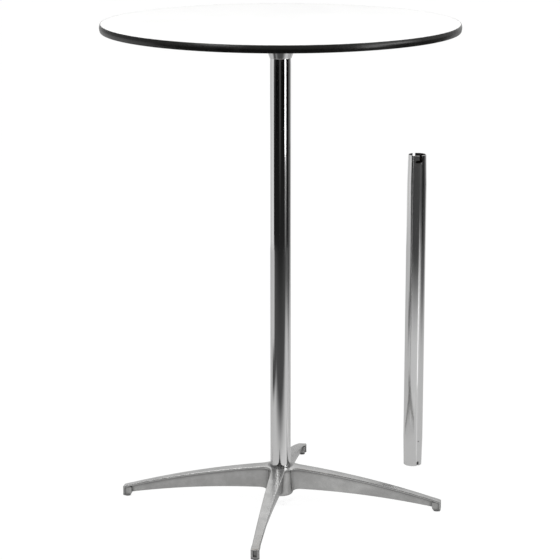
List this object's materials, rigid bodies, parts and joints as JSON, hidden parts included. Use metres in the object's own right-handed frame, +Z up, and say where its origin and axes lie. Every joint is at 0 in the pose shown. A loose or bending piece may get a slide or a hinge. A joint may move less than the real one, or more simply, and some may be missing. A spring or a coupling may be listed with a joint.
{
  "type": "pub table",
  "caption": "Round standing-height pub table: laminated top on a cast spider, chromed column, cast four-leg base, with a shorter column to swap in.",
  "frame": {"origin": "on the floor under the middle of the base, on the column's axis", "axes": "+Z up along the column; +X to the right and -Y towards the viewer, with one base leg turned 8.5 degrees clockwise from +X"},
  "size_m": [0.762, 0.762, 1.067],
  "materials": {
    "board": "bare pressed wood board",
    "laminate": "white high-pressure laminate, satin",
    "backing": "brown balancing sheet",
    "edge_band": "black moulded edge band, soft sheen",
    "cast_aluminium": "satin, tumbled casting",
    "chrome": "bright chrome plate",
    "zinc_screw": "bright zinc",
    "glide_nylon": "grey nylon"
  },
  "bodies": {
    "base": {"base_casting": "cast_aluminium", "base_lock_pin": "zinc_screw", "glide_right": "glide_nylon", "glide_back": "glide_nylon", "glide_left": "glide_nylon", "glide_front": "glide_nylon"},
    "column": {"long_column": "chrome"},
    "tabletop": {"core_board": "board", "top_laminate": "laminate", "backing_sheet": "backing", "edge_band": "edge_band", "top_spider": "cast_aluminium", "flared_collar": "chrome", "arm_screws": "zinc_screw", "collar_screws": "zinc_screw", "top_lock_pin": "zinc_screw"},
    "spare_column": {"short_column": "chrome"}
  },
  "joints": [
    {"name": "column_lift", "type": "slide", "parent": "base", "child": "column", "axis": [0, 0, 1], "range_m": [0, 0.12]},
    {"name": "tabletop_twist", "type": "hinge", "parent": "column", "child": "tabletop", "pos_m": [0, 0, 1.046], "axis": [0, 0, 1], "range_deg": [0, 24]},
    {"name": "short_column_lift", "type": "slide", "parent": "base", "child": "spare_column", "axis": [0, 0, 1], "range_m": [0, 1.1]}
  ]
}
